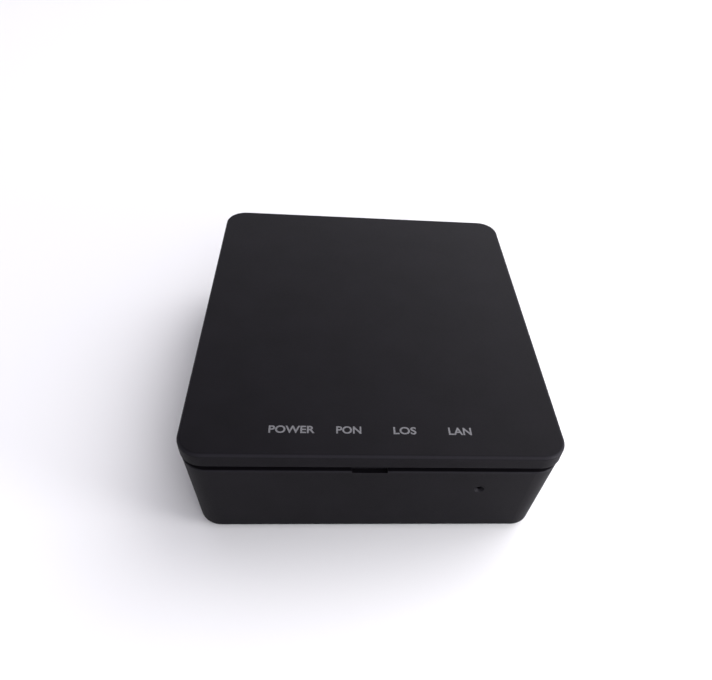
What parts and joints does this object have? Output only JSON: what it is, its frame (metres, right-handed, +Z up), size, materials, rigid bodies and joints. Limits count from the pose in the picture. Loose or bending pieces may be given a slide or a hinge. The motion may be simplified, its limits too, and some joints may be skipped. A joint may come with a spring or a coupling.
{
  "type": "optical network terminal",
  "caption": "Small square two-shell box with a fibre socket under a sprung shutter, a LAN socket, a DC inlet, a power key and hidden front indicators.",
  "frame": {"origin": "on the surface the feet stand on, under the middle of the casing", "axes": "+Z up through the top cover, +Y towards the rear wall with the sockets, +X to the right seen from the labelled front edge"},
  "size_m": [0.082, 0.094, 0.029],
  "materials": {
    "casing_plastic": "fine spark-eroded texture, black with a slight cool tint",
    "button_plastic": "satin black",
    "shutter_plastic": "satin black, slightly flexible",
    "port_green": "satin green socket plastic",
    "foot_rubber": "soft matt rubber",
    "screw_zinc": "blackened zinc plate",
    "board_screw_zinc": "bright zinc plate",
    "printed_ink": "pad-printed light grey ink",
    "label_film": "matt polyester label, left blank",
    "board_laminate": "green solder resist over glass laminate",
    "chip_epoxy": "moulded epoxy",
    "tinned_lead": "tinned copper",
    "heat_sink_alloy": "anodised aluminium",
    "pad_silicone": "grey thermal silicone",
    "tinplate": "bright tinplate",
    "capacitor_can": "drawn aluminium",
    "ferrite": "moulded ferrite",
    "ceramic_chip": "fired ceramic with tinned ends",
    "led_package": "clear resin over a white package",
    "light_pipe_clear": "clear moulded acrylic",
    "stainless_steel": "turned stainless steel",
    "zirconia": "polished white zirconia",
    "gold_contact": "gold flash over phosphor bronze",
    "jack_black": "black glass-filled nylon",
    "switch_white": "ivory acetal",
    "spring_wire": "bright spring wire"
  },
  "bodies": {
    "housing": {"base_tray": "casing_plastic", "top_cover": "casing_plastic", "case_screws": "screw_zinc", "board_screws": "board_screw_zinc", "rubber_feet": "foot_rubber", "rating_label": "label_film", "main_board": "board_laminate", "soc_chip": "chip_epoxy", "thermal_pad": "pad_silicone", "heat_sink": "heat_sink_alloy", "memory_chip": "chip_epoxy", "laser_driver_chip": "chip_epoxy", "rf_shield_can": "tinplate", "crystal_can": "tinplate", "bulk_capacitors": "capacitor_can", "capacitor_bases": "chip_epoxy", "power_inductors": "ferrite", "chip_passives": "ceramic_chip", "service_header": "jack_black", "service_header_pins": "gold_contact", "indicator_leds": "led_package", "light_pipe": "light_pipe_clear", "optical_receptacle": "port_green", "receptacle_barrel": "stainless_steel", "split_sleeve": "zirconia", "fibre_stub": "zirconia", "transceiver_head": "stainless_steel", "laser_can": "tinplate", "receiver_can": "tinplate", "transceiver_leads": "gold_contact", "hinge_pin": "stainless_steel", "shutter_spring": "spring_wire", "lan_jack_housing": "jack_black", "lan_jack_shield": "tinplate", "lan_jack_contacts": "gold_contact", "dc_jack_housing": "jack_black", "dc_jack_pin": "tinned_lead", "dc_jack_spring": "tinned_lead", "power_switch_body": "jack_black", "reset_guide": "jack_black", "reset_switch_body": "jack_black", "flash_chip": "chip_epoxy", "flash_chip_leads": "tinned_lead", "lan_transformer": "chip_epoxy", "lan_transformer_leads": "tinned_lead", "step_down_converter": "chip_epoxy", "step_down_converter_leads": "tinned_lead"},
    "power_button": {"power_button": "button_plastic", "power_switch_stem": "switch_white"},
    "reset_plunger": {"reset_plunger": "switch_white"},
    "reset_switch_stem": {"reset_switch_stem": "switch_white"},
    "optical_shutter": {"port_shutter": "shutter_plastic"}
  },
  "joints": [
    {"name": "power_press", "type": "slide", "parent": "housing", "child": "power_button", "axis": [0, -1, 0], "range_m": [0, 0.0025], "stiffness_N_per_m": 600, "springref_m": -0.0015},
    {"name": "reset_press", "type": "slide", "parent": "housing", "child": "reset_plunger", "axis": [0, 1, 0], "range_m": [0, 0.00025], "stiffness_N_per_m": 2000, "springref_m": -0.0003},
    {"name": "reset_switch_press", "type": "slide", "parent": "housing", "child": "reset_switch_stem", "axis": [0, 1, 0], "range_m": [0, 0.00025]},
    {"name": "shutter_hinge", "type": "hinge", "parent": "housing", "child": "optical_shutter", "pos_m": [-0.0224, 0.04575, 0.02], "axis": [1, 0, 0], "range_deg": [0, 100], "stiffness_Nm_per_rad": 0.0002, "springref_deg": -28.65}
  ],
  "couplings": [
    {"joint": "reset_switch_press", "follows": "reset_press", "ratio": 1}
  ]
}
